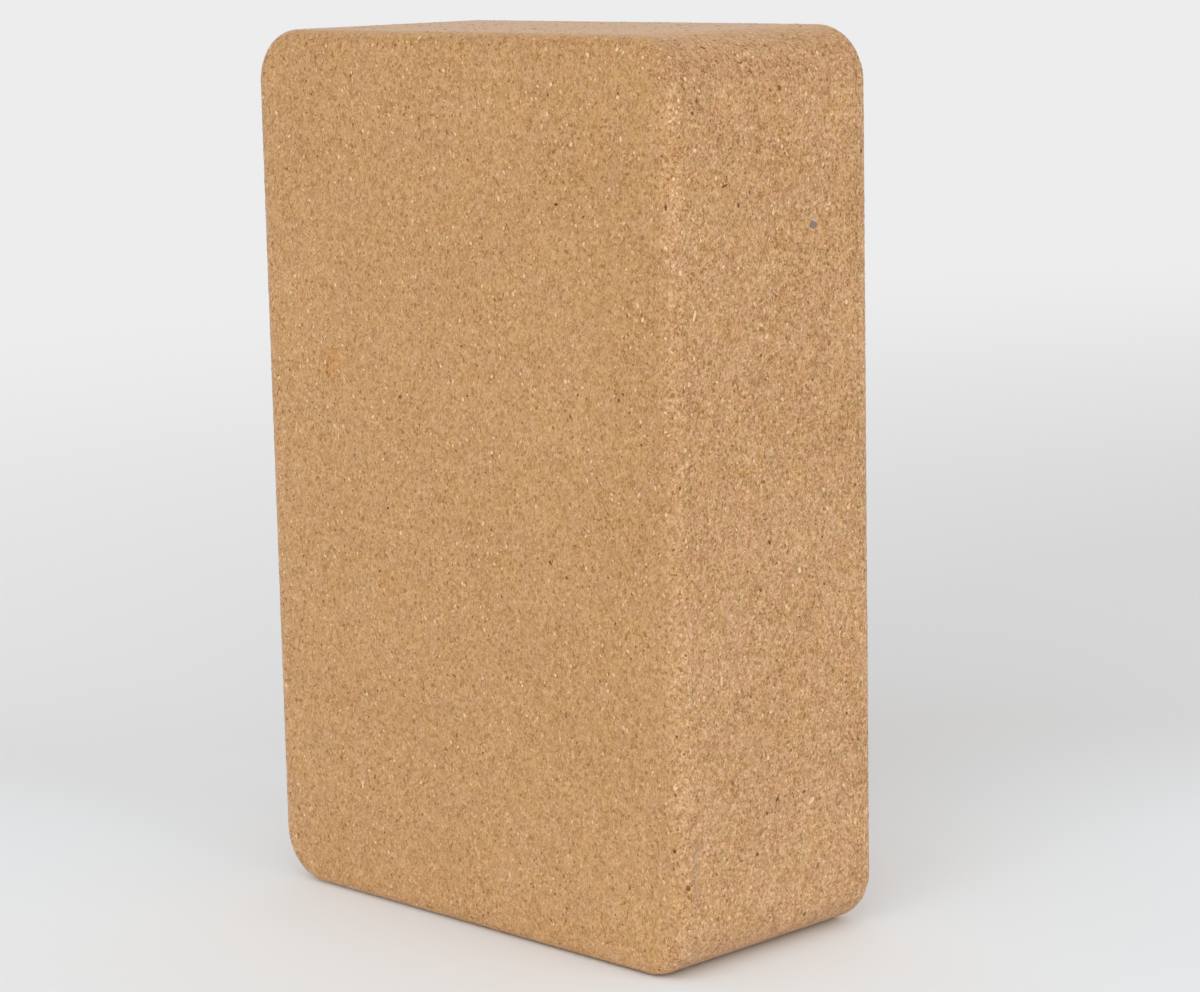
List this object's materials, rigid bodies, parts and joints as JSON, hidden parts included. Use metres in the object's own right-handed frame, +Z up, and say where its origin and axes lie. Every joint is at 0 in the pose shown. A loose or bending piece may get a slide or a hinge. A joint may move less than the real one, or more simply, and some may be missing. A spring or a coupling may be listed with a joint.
{
  "type": "yoga block",
  "caption": "Solid rectangular cork yoga block with rounded corners and softened rims, used as a firm prop to raise the floor or carry body weight.",
  "frame": {"origin": "middle of the small end that the block stands on", "axes": "+Z up along the block's length, X across its width, Y through its thickness; one broad face looks along -Y"},
  "size_m": [0.15, 0.072, 0.2286],
  "materials": {
    "cork": "sanded, unsealed agglomerated cork with fine granules, matt"
  },
  "bodies": {
    "root": {"cork_block": "cork"}
  },
  "joints": []
}
